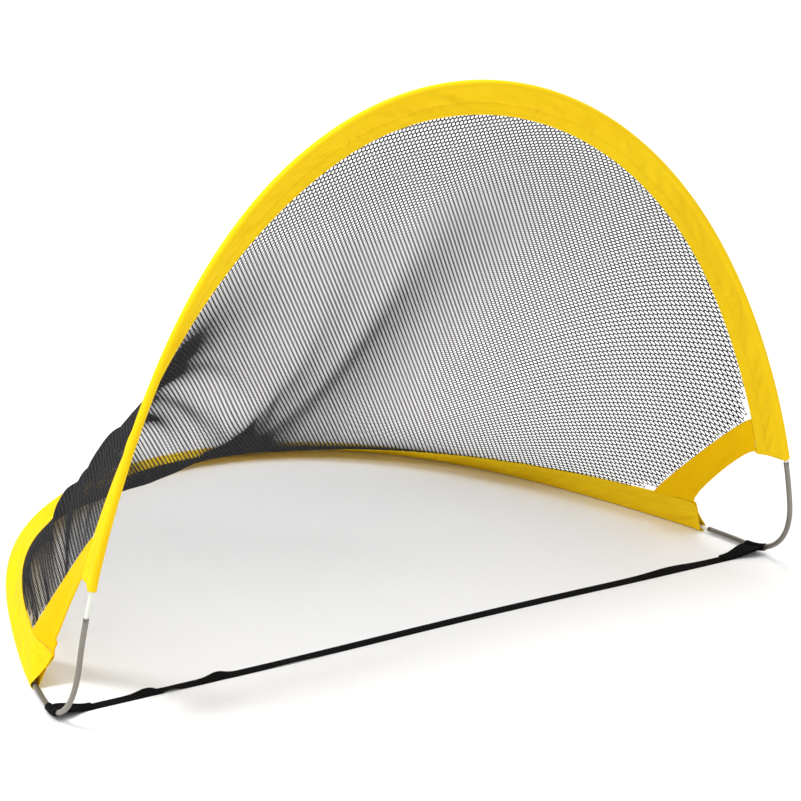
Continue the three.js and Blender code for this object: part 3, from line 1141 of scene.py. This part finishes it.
    def rings_tree(self) -> GeometryTree:
        """Turns each lattice point into a six-sided mesh: a ring of thread round a hole."""
        tree = GeometryTree("net_meshes", {"Hole": (FLOAT, self.hole)})
        cells = tree.first("GeometryNodeDualMesh", {"Mesh": tree.input["Geometry"]})
        grown = tree.node(
            "GeometryNodeExtrudeMesh",
            {"Mesh": cells, "Offset Scale": 0.0, "Individual": True},
            mode="FACES",
        ).outputs
        shrunk = tree.first(
            "GeometryNodeScaleElements",
            {"Geometry": grown["Mesh"], "Selection": grown["Top"], "Scale": tree.input["Hole"]},
            domain="FACE",
        )
        rings = tree.first(
            "GeometryNodeDeleteGeometry", {"Geometry": shrunk, "Selection": grown["Top"]}, domain="FACE"
        )
        tree.end(rings)
        return tree

    def panel_tree(self, material: bpy.types.Material) -> GeometryTree:
        """Takes one panel out of the net and gives its threads a closed, flat section."""
        tree = GeometryTree("net_panel", {"Panel": ("NodeSocketInt", 0), "Thread": (FLOAT, self.thread)})
        number = tree.node(
            "GeometryNodeInputNamedAttribute", {"Name": "panel"}, data_type="INT"
        ).outputs["Attribute"]
        chosen = tree.first(
            "FunctionNodeCompare",
            {2: number, 3: tree.input["Panel"]},
            data_type="INT",
            operation="EQUAL",
        )
        part = tree.first(
            "GeometryNodeSeparateGeometry",
            {"Geometry": tree.input["Geometry"], "Selection": chosen},
            domain="FACE",
        )
        raised = tree.first(
            "GeometryNodeExtrudeMesh",
            {"Mesh": part, "Offset Scale": tree.input["Thread"], "Individual": False},
            mode="FACES",
        )
        under = tree.first("GeometryNodeFlipFaces", {"Mesh": part})
        both = tree.node("GeometryNodeJoinGeometry")
        for half in (raised, under):
            tree.link(half, both.inputs[0])
        closed = tree.first("GeometryNodeMergeByDistance", {"Geometry": both.outputs[0], "Distance": 1e-6})
        tree.end(closed, material)
        return tree

    def build(self, material: bpy.types.Material) -> list[bpy.types.Object]:
        """Makes the net in panels, side by side across the mouth."""
        lattice = self.base()
        rings = self.rings_tree().run(lattice, "net_rings")
        bpy.data.objects.remove(lattice)
        whole = new_object("net_rings", rings)
        tree = self.panel_tree(material)
        made = []
        for number in range(self.panels):
            mesh = tree.run(whole, f"net_panel_{number + 1:02d}", Panel=number)
            if len(mesh.polygons) == 0:
                continue
            panel = piece_from(mesh)
            middle = (number + 0.5) / self.panels
            back, front = self.shape.smooth_point(np.full(2, middle), np.array([self.fold_start, 0.0]))
            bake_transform(panel)
            self.declare(number)
            made.append(panel)
        bpy.data.objects.remove(whole)
        return made

    def declare(self, number: int) -> None:
        """Works out the points of the uncreased surface that a panel is cut to, and keeps none of them."""
        shares = mix(number / self.panels, (number + 1) / self.panels, np.linspace(0, 1, 9))
        across, back = np.meshgrid(shares, np.linspace(0, 1, 60), indexing="ij")
        edge = self.shape.binding_edge(back) - self.under_binding
        cut = self.shape.smooth_point(np.clip(across, edge, 1 - edge), back)


# ---- corner bindings ----


def closed_skin(top: np.ndarray, bottom: np.ndarray, flip: bool) -> tuple[np.ndarray, np.ndarray]:
    """Joins two grids of points round their rims.

    Returns:
        The points, one row each, and the faces.
    """
    rows, columns = top.shape[:2]
    under = rows * columns
    index = np.arange(under).reshape(rows, columns)
    rim = np.concatenate([index[:, 0], index[-1, 1:], index[-2::-1, -1], index[0, -2:0:-1]])
    after = np.roll(rim, -1)
    walls = np.stack([rim, after, after + under, rim + under], axis=-1)
    sides = [grid_faces(rows, columns, flip=flip), grid_faces(rows, columns, flip=not flip) + under]
    points = np.concatenate([top.reshape(-1, 3), bottom.reshape(-1, 3)])
    return points, np.vstack([*sides, walls[:, ::-1] if flip else walls])


@dataclass
class Bindings:
    """The yellow bindings that close the net's ends at the corners.

    A binding's own shares run from its free edge to the net, and from the front hoop to the back one.
    """

    shape: NetShape
    cloth: float = 1.1 * MM
    rows: int = 90
    columns: int = 26
    lap: float = 0.012
    over_net: float = 0.003
    hem_extra: float = 0.55
    net_extra: float = 0.9

    def lift(self, over: np.ndarray, back: np.ndarray) -> np.ndarray:
        """How far the slack cloth stands out of its surface."""
        raised = 1.6 * MM * bump(back, 0.80 - 0.12 * over, 0.03)
        sunk = 1.2 * MM * bump(back, 0.74 - 0.12 * over, 0.04)
        wave = 1.4 * MM * np.sin(2 * math.pi * (1.5 * back + 0.6 * over + 0.2)) * np.sin(math.pi * over)
        lift = (raised - sunk + wave) * smooth(back, 0, 0.12) * (1 - smooth(back, 0.9, 1.0))
        return lift * (1 - smooth(over, 0.3, 0.62))

    def half_thickness(self, over: np.ndarray) -> np.ndarray:
        """Half the cloth's thickness, more at its hem and where it holds the net."""
        hem = self.hem_extra * (1 - smooth(over, 0.12, 0.16))
        return self.cloth / 2 * (1 + hem + self.net_extra * smooth(over, 0.34, 0.62))

    def build(self, side: Side, material: bpy.types.Material) -> bpy.types.Object:
        """Makes one binding, hemmed along its free edge and lapped over the net along the other."""
        over, back = np.meshgrid(
            np.linspace(0, 1, self.columns), np.linspace(-self.lap, 1 + self.lap, self.rows), indexing="ij"
        )
        free = self.shape.binding_hollow * 4 * back * (1 - back)
        share = mix(free, self.shape.binding_edge(back) + self.over_net, over)
        across = share if side is Side.RIGHT else 1 - share
        surface = self.shape.smooth_point(across, back)
        normal = unit(np.cross(np.gradient(surface, axis=1), np.gradient(surface, axis=0)))
        grid = surface + normal * self.lift(over, back)[..., None]
        half = normal * self.half_thickness(over)[..., None]
        points, faces = closed_skin(grid + half, grid - half, side is Side.LEFT)
        piece = mesh_object(f"{side.label}_corner_binding_cloth", points, faces, material)
        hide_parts(f"{side.label}_corner_binding")
        middle = (across[self.columns // 2, 0] + across[self.columns // 2, -1]) / 2
        at_back, at_front = self.shape.smooth_point(np.full(2, middle), np.array([1.0, 0.0]))
        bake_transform(piece)
        return piece


# ---- ground strap ----


@dataclass(frozen=True)
class Twist:
    """A stretch where the strap rolls over: where along it, over what length, and how far."""

    at: float
    length: float
    turn: float


@dataclass
class Strap:
    """The webbing strap that lies across the mouth, and its sewn loops round the corner tubes."""

    goal: Goal
    tubes: CornerTubes
    width: float = 13.5 * MM
    cloth: float = 1.3 * MM
    loop_width: float = 30 * MM
    loop_reach: float = 47 * MM
    step: float = 2.5 * MM
    across: int = 13
    runs: int = 16
    wraps: int = 34
    gathered_by: float = 0.85
    run_heights: tuple[float, float] = (1.7, 0.6)
    run_lift: float = 0.5 * MM
    twists: tuple[Twist, ...] = (
        Twist(-0.334, 0.026, 0.32),
        Twist(-0.311, 0.022, -0.30),
        Twist(-0.250, 0.024, 0.36),
        Twist(-0.160, 0.060, -0.12),
        Twist(0.330, 0.060, 0.20),
    )

    def section(self, width: float) -> np.ndarray:
        """A flat band's outline with rounded edges, in the band's width and thickness."""
        half, thick = width / 2, self.cloth / 2
        flats = np.linspace(-half + thick, half - thick, 9)
        turn = np.radians([-60, -30, 0, 30, 60])
        right = np.stack([half - thick + thick * np.cos(turn), thick * np.sin(turn)], axis=-1)
        left = -right
        top = np.stack([flats[::-1], np.full(9, thick)], axis=-1)
        bottom = np.stack([flats, np.full(9, -thick)], axis=-1)
        return np.vstack([bottom, right, top, left])

    def add_uv(self, piece: bpy.types.Object, rows: int, columns: int, length: float, width: float) -> None:
        """Lays the webbing's own coordinates on a band, in metres along and across."""
        layer = piece.data.uv_layers.new(name="webbing")
        corners = np.zeros(len(piece.data.loops), np.int32)
        piece.data.loops.foreach_get("vertex_index", corners)
        along = (corners // columns) / max(rows - 1, 1) * length
        across = (corners % columns) / columns * width * 2
        layer.data.foreach_set("uv", np.stack([along, across], axis=-1).astype(np.float32).ravel())

    def band(
        self,
        name: str,
        path: np.ndarray,
        first: np.ndarray,
        outline: np.ndarray,
        material: bpy.types.Material,
    ) -> bpy.types.Object:
        """Makes a closed band of webbing along a path."""
        points = sweep(path, first, outline)
        rows, columns = len(path), outline.shape[-2]
        faces = grid_faces(rows, columns, closed=True).tolist()
        faces.append(list(range(columns))[::-1])
        faces.append(list(range(len(points) - columns, len(points))))
        piece = mesh_object(name, points, faces, material)
        self.add_uv(piece, rows, columns, run_along(path)[-1], self.width)
        return piece

    def roll(self, x: np.ndarray) -> np.ndarray:
        """How far the strap is rolled over at each place along it, in radians."""
        roll = np.zeros_like(x)
        for twist in self.twists:
            roll += twist.turn * bump(x, twist.at, twist.length / 2)
        return roll

    def build_strap(self, material: bpy.types.Material) -> bpy.types.Object:
        """Makes the strap between the loops, lying on the ground with its twists."""
        low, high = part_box("ground_strap")
        x = np.arange(low.x - 6 * MM, high.x + 6 * MM, self.step)
        roll = self.roll(x)
        lying = self.cloth / 2 + np.abs(np.sin(roll)) * (self.width - self.cloth) / 2
        y = (low.y + high.y) / 2 + 2.5 * MM * np.sin(9 * x + 0.6) * (1 - (x / 0.42) ** 2)
        path = np.stack([x, y, lying], axis=-1)
        first = np.stack([np.zeros_like(x), np.cos(roll), np.sin(roll)], axis=-1)
        piece = self.band("ground_strap_webbing", path, first, self.section(self.width), material)
        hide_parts("ground_strap")
        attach(piece, BASE)
        return piece

    def loop_grid(self, side: Side) -> np.ndarray:
        """The loop's middle surface: out along the top, round the tube and back underneath."""
        low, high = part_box(f"{side.label}_strap_loop")
        middle = (low.y + high.y) / 2
        share = np.linspace(-0.5, 0.5, self.across)
        at = middle + share * self.loop_width
        tube = self.tubes.path(side)
        tube = tube[np.argsort(tube[:, 1])]
        flat = tube[tube[:, 2] < 2 * high.z]
        seat = np.stack([np.interp(at, flat[:, 1], flat[:, axis]) for axis in range(3)], axis=-1)
        ring = self.tubes.radius + self.cloth * 0.55
        turn = np.radians(np.linspace(-72, 250, self.wraps))[:, None]
        wrap = np.stack(
            [
                seat[:, 0] + side.value * np.cos(turn + math.pi / 2) * -ring,
                np.broadcast_to(at, (self.wraps, self.across)),
                np.maximum(seat[:, 2] + np.sin(turn + math.pi / 2) * ring, self.cloth * 0.6),
            ],
            axis=-1,
        )
        return self.loop_runs(side, wrap, middle, share)

    def loop_runs(self, side: Side, wrap: np.ndarray, middle: float, share: np.ndarray) -> np.ndarray:
        """Adds the two runs that gather the loop's width down to the strap's."""
        t = np.linspace(0, 1, self.runs)[:, None, None]
        gathered = smooth(t, 0, self.gathered_by)
        shares = np.concatenate([t, gathered, gathered], axis=-1)
        x = np.full(self.across, wrap[:, :, 0].mean() - side.value * self.loop_reach)
        y = middle + share * self.width
        runs = []
        for start, height in zip((wrap[0], wrap[-1]), self.run_heights):
            end = np.stack([x, y, np.full(self.across, self.cloth * height)], axis=-1)
            runs.append(mix(start[None], end[None], shares))
        upper, lower = runs
        swell = np.sin(math.pi * t[..., 0])
        upper[..., 2] += self.run_lift * np.sin(share * 5 * math.pi) * swell + self.run_lift * swell
        return np.concatenate([upper[:0:-1], wrap, lower[1:]], axis=0)

    def build_loop(self, side: Side, material: bpy.types.Material) -> bpy.types.Object:
        """Makes one loop: the strap's end, wider, wrapped round the tube and sewn down on itself."""
        node = f"{side.label}_strap_loop"
        grid = self.loop_grid(side)
        rows, columns = grid.shape[:2]
        faces = grid_faces(rows, columns, flip=side is Side.RIGHT)
        piece = mesh_object(f"{node}_webbing", grid.reshape(-1, 3), faces, material)
        self.add_uv(piece, rows, columns, run_along(grid[:, columns // 2])[-1], self.loop_width)
        thicken(piece, self.cloth, 0.0)
        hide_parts(node)
        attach(piece, BASE)
        return piece


# ---- stage ----


@dataclass(frozen=True)
class Lamp:
    """A square soft light that faces the goal; angles in degrees, sizes in metres, power in watts."""

    name: str
    azimuth: float
    elevation: float
    distance: float
    size: float
    power: float


LAMPS = (
    Lamp("key_light", -85, 52, 3.2, 0.7, 46),
    Lamp("fill_light", 60, 50, 3.5, 2.0, 8),
    Lamp("top_light", 160, 80, 3.0, 2.0, 40),
)


@dataclass(frozen=True)
class Studio:
    """A pale floor, soft lights and the camera."""

    azimuth: float = -30.44
    elevation: float = 20.41
    distance: float = 4.95
    lens: float = 197.1
    target: tuple[float, float, float] = (0.0988, -0.0505, 0.1823)
    world_light: float = 0.74
    floor_half: float = 14.0
    floor_tone: float = 0.97
    floor_roughness: float = 0.9

    def back(self, azimuth: float, elevation: float) -> Vector:
        """Unit vector from the goal towards a place round it."""
        a, e = math.radians(azimuth), math.radians(elevation)
        return Vector((math.sin(a) * math.cos(e), -math.cos(a) * math.cos(e), math.sin(e)))

    def camera(self) -> None:
        """Sets up the camera."""
        data = bpy.data.cameras.new("camera")
        data.sensor_width = 36
        data.lens = self.lens
        data.clip_end = 100
        camera = new_object("camera", data)
        direction = self.back(self.azimuth, self.elevation)
        camera.location = Vector(self.target) + direction * self.distance
        camera.rotation_euler = (-direction).to_track_quat("-Z", "Y").to_euler()
        bpy.context.scene.camera = camera

    def light(self, lamp: Lamp) -> None:
        """Hangs one lamp."""
        data = bpy.data.lights.new(lamp.name, "AREA")
        data.size = lamp.size
        data.energy = lamp.power
        hung = new_object(lamp.name, data)
        direction = self.back(lamp.azimuth, lamp.elevation)
        hung.location = direction * lamp.distance
        hung.rotation_euler = direction.to_track_quat("Z", "Y").to_euler()

    def floor(self) -> None:
        """Lays the plain pale floor."""
        size = self.floor_half
        corners = np.array([[-size, -size, 0], [size, -size, 0], [size, size, 0], [-size, size, 0]])
        floor = mesh_object("studio_floor", corners, [(0, 1, 2, 3)], None)
        material = bpy.data.materials.new("studio_floor")
        material.use_nodes = True
        shader = material.node_tree.nodes["Principled BSDF"]
        shader.inputs["Base Color"].default_value = (*[self.floor_tone] * 3, 1)
        shader.inputs["Roughness"].default_value = self.floor_roughness
        floor.data.materials.append(material)

    def build(self) -> None:
        """Builds the whole stage."""
        world = bpy.data.worlds.new("studio")
        world.use_nodes = True
        sky = world.node_tree.nodes["Background"]
        sky.inputs["Color"].default_value = (1, 1, 1, 1)
        sky.inputs["Strength"].default_value = self.world_light
        bpy.context.scene.world = world
        bpy.context.scene.view_settings.view_transform = "Standard"
        self.camera()
        self.floor()
        for lamp in LAMPS:
            self.light(lamp)


# ---- assembly ----


def dress_frame(goal: Goal, finishes: Finishes) -> None:
    """Builds the rods, corner tubes and strap in order, and puts each but the front rod on its body."""
    rods = Rods(goal)
    for hoop, body in HOOP_BODIES:
        rod = rods.build(hoop, finishes.fibreglass)
        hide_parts(f"{hoop.name}_rod")
        if hoop.upright:
            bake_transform(rod)
        else:
            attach(rod, body)
        LOG.info("rod %s: %d vertices", rod.name, len(rod.data.vertices))
    tubes = CornerTubes(goal)
    for side in Side:
        tube = tubes.build(side, finishes.steel)
        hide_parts(f"{side.label}_corner_tube")
        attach(tube, BASE)
        LOG.info("tube %s", tube.name)
    strap = Strap(goal, tubes)
    strap.build_strap(finishes.webbing)
    for side in Side:
        strap.build_loop(side, finishes.webbing)
    LOG.info("strap and loops")


def dress_cloth(goal: Goal, finishes: Finishes) -> None:
    """Builds the sleeves, their stitches, the bindings and the net."""
    sleeves = Sleeves(goal)
    sewing = stitch_tree(sleeves, finishes.yellow_thread)
    for seed, (hoop, body) in enumerate(HOOP_BODIES, start=11):
        sleeve = sleeves.build(hoop, finishes.yellow, seed)
        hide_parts(f"{hoop.name}_sleeve")
        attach(sleeve, body)
        stitches = sleeves.stitches(hoop, sewing, seed)
        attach(stitches, body)
        length = run_along(hoop.point(hoop.angles(*hoop.sleeve_ends, 10 * MM)))[-1]
        LOG.info("sleeve %s: %d faces", sleeve.name, len(sleeve.data.polygons))
    shape = NetShape(goal)
    bindings = Bindings(shape)
    for side in Side:
        bindings.build(side, finishes.binding)
    panels = Net(shape).build(finishes.net)
    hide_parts("net")
    LOG.info("net: %d panels, %d faces", len(panels), sum(len(p.data.polygons) for p in panels))


def main() -> None:
    """Loads the frame and dresses it."""
    logging.basicConfig(level=logging.INFO)
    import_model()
    goal = Goal()
    Studio().build()
    finishes = Finishes()
    dress_frame(goal, finishes)
    dress_cloth(goal, finishes)


if __name__ == "__main__":
    main()
